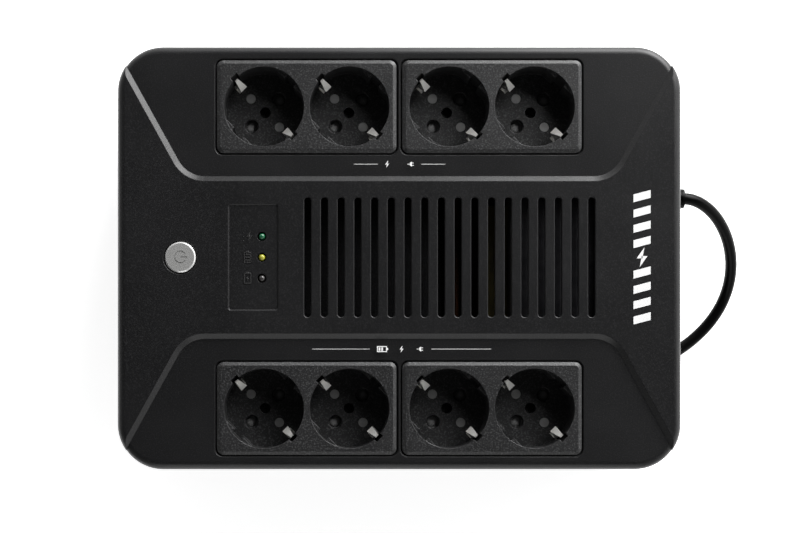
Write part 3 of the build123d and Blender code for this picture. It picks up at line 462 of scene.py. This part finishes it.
def plug_sign(x, y, size):
    """Round plug seen from the side, with two pins and a tail."""
    radius = size * 0.3
    half = size * 0.04
    angles = [math.radians(degrees) for degrees in range(90, 271, 15)]
    shapes = [[(x + radius * math.cos(a), y + radius * math.sin(a)) for a in angles]]
    for pin_y in (y - size * 0.16, y + size * 0.16):
        shapes.append(bar(x, x + size * 0.25, pin_y - half, pin_y + half))
    shapes.append(bar(x - size * 0.6, x - size * 0.28, y - half, y + half))
    return shapes


def row_labels():
    """Signs beside each row of outlets: the back row is mains only, the front row is backed up."""
    bolt_size, plug_size, battery_size = 0.0034, 0.0036, 0.0048
    y = BACK_LABEL_Y
    back = bolt(-0.006, y, bolt_size) + plug_sign(0.006, y, plug_size)
    back += [rule(-0.0222, -0.0105, y), rule(0.0105, 0.0222, y)]
    flat_piece("label_back", back, TOP_Z, "ink")
    y = FRONT_LABEL_Y
    front = battery_sign(-0.0085, y, battery_size) + bolt(0.001, y, bolt_size)
    front += plug_sign(0.0105, y, plug_size)
    front += [rule(-0.0424, -0.0145, y), rule(0.0155, 0.0444, y)]
    flat_piece("label_front", front, TOP_Z, "ink")


def charge_motif():
    """Upright mark at the cord end: a bolt between slanted charge bars."""
    x0, x1 = MOTIF_X
    lean, step, thick = 0.0011, 0.0074, 0.0038
    bars = []
    for i in (-4, -3, -2, -1, 1, 2, 3, 4):
        low = i * step - thick / 2
        high = low + thick
        bars.append([(x0, low - lean), (x1, low + lean), (x1, high + lean), (x0, high - lean)])
    flat_piece("charge_bars", bars, TOP_Z, "ink")
    flat_piece("charge_bolt", bolt((x0 + x1) / 2, 0, 0.0095), TOP_Z, "ink")


def lamp_signs():
    """Signs moulded into the lamp panel: mains, battery, battery fault."""
    x = SIGN_X
    mains_y, battery_y, fault_y = (middle(f"lamp_{colour}").y for colour in ("green", "yellow", "red"))
    mains = bolt(x + 0.0008, mains_y, SIGN_SIZE)
    mains += [charge(x - 0.002, mains_y + y, 0.0002, 0.0002) for y in (-0.002, 0, 0.002)]
    signs = {
        "sign_mains": mains,
        "sign_battery": upright_battery(x, battery_y, (-0.27, 0, 0.27)),
        "sign_fault": upright_battery(x, fault_y, ()) + bolt(x, fault_y, SIGN_SIZE / 2),
    }
    for name, outlines in signs.items():
        flat_piece(name, outlines, PANEL_Z, "sign", SIGN_H)


def upright_battery(x, y, charges):
    """Battery standing on end: outline, pole, and a bar for each charge level."""
    w, h = SIGN_SIZE * 0.68, SIGN_SIZE
    line = SIGN_SIZE * 0.07
    shapes = frame_bars(x - w / 2, x + w / 2, y - h / 2, y + h / 2, line)
    shapes.append(bar(x - w / 5, x + w / 5, y + h / 2, y + h / 2 + line * 1.4))
    return shapes + [charge(x, y + h * level, w * 0.3, h * 0.06) for level in charges]


def build_labels():
    """Everything printed on or moulded into the top."""
    row_labels()
    charge_motif()
    lamp_signs()


# ---------------------------------------------------------------- stage


def stage_floor():
    """Pale plain floor."""
    mesh = bpy.data.meshes.new("floor")
    mesh.from_pydata([(-4, -4, 0), (4, -4, 0), (4, 4, 0), (-4, 4, 0)], [], [(0, 1, 2, 3)])
    material, tree, shader = graph("studio floor")
    mottle = noise(tree, 3, 2.0)
    plug(tree, shader.inputs["Base Color"], blend(tree, mottle, (0.93, 0.93, 0.93), (0.96, 0.96, 0.96)))
    shader.inputs["Roughness"].default_value = 0.9
    shader.inputs["Emission Color"].default_value = (1, 1, 1, 1)
    shader.inputs["Emission Strength"].default_value = 0.75
    mesh.materials.append(material)
    floor = bpy.data.objects.new("floor", mesh)
    bpy.context.scene.collection.objects.link(floor)
    floor.location.z = -0.0002


def softbox(name, location, target, size, power):
    """Square area light aimed at a point."""
    light = bpy.data.lights.new(name, "AREA")
    light.size = size
    light.energy = power
    lamp = bpy.data.objects.new(name, light)
    bpy.context.scene.collection.objects.link(lamp)
    lamp.location = location
    direction = Vector(target) - Vector(location)
    lamp.rotation_euler = direction.to_track_quat("-Z", "Y").to_euler()


def surround():
    """Pale surround that is bright low down toward the back right and dark overhead.

    A camera looking past the floor sees it as plain white.
    """
    world = bpy.data.worlds.new("surround")
    world.use_nodes = True
    tree = world.node_tree
    direction = add(tree, "ShaderNodeTexCoord").outputs["Generated"]
    height = add(tree, "ShaderNodeSeparateXYZ", {"Vector": direction}).outputs["Z"]
    toward_key = arrows(tree, "DOT_PRODUCT", direction, (0.7, 0.7, 0)).outputs["Value"]
    side = fit(tree, toward_key, -1, 1, 0, 1)
    side = maths(tree, "MULTIPLY_ADD", maths(tree, "POWER", side, 2.0), 2.4, 0.4)
    rise = fit(tree, height, 0, 0.3, 0.35, 1)
    fall = fit(tree, height, 0.45, 0.7, 1, 0.02)
    level = maths(tree, "MULTIPLY", maths(tree, "MULTIPLY", rise, fall), side)
    seen = add(tree, "ShaderNodeLightPath").outputs["Is Camera Ray"]
    level = maths(tree, "MAXIMUM", level, seen)
    background = tree.nodes["Background"]
    background.inputs["Color"].default_value = (1, 1, 1, 1)
    plug(tree, background.inputs["Strength"], level)
    bpy.context.scene.world = world


def stage_lights():
    """Broad light from the back right over the surround."""
    surround()
    softbox("key", (0.85, 0.95, 0.95), (0, 0, 0.05), 1.1, 22)
    softbox("back", (0.6, 1.2, 0.55), (0.05, 0.0, 0.08), 1.0, 22)
    softbox("front", (0.0, -1.2, 0.5), (0, 0, 0.08), 0.9, 3)
    bpy.context.scene.view_settings.view_transform = "Standard"


def stage_camera():
    """Camera that looks straight down from the front left of the middle, its film shifted to the case."""
    camera = bpy.data.cameras.new("camera")
    camera.lens = 71.5
    camera.sensor_width = 36
    holder = bpy.data.objects.new("camera", camera)
    holder.location = CAMERA_PLACE
    bpy.context.scene.collection.objects.link(holder)
    bpy.context.scene.camera = holder
    for axis, amount in FILM_SHIFT.items():
        shift_film(holder, axis, amount)


def shift_film(holder, axis, amount):
    """Shift the film only while the camera is at its own height, so that any other view is centred."""
    driver = holder.data.driver_add(axis).driver
    height = driver.variables.new()
    height.name = "height"
    height.type = "TRANSFORMS"
    height.targets[0].id = holder
    height.targets[0].transform_type = "LOC_Z"
    driver.expression = f"{amount} * (abs(height - {CAMERA_PLACE[2]}) < 0.0001)"


paint_nodes()
working_spring()
build_labels()
stage_floor()
stage_lights()
stage_camera()
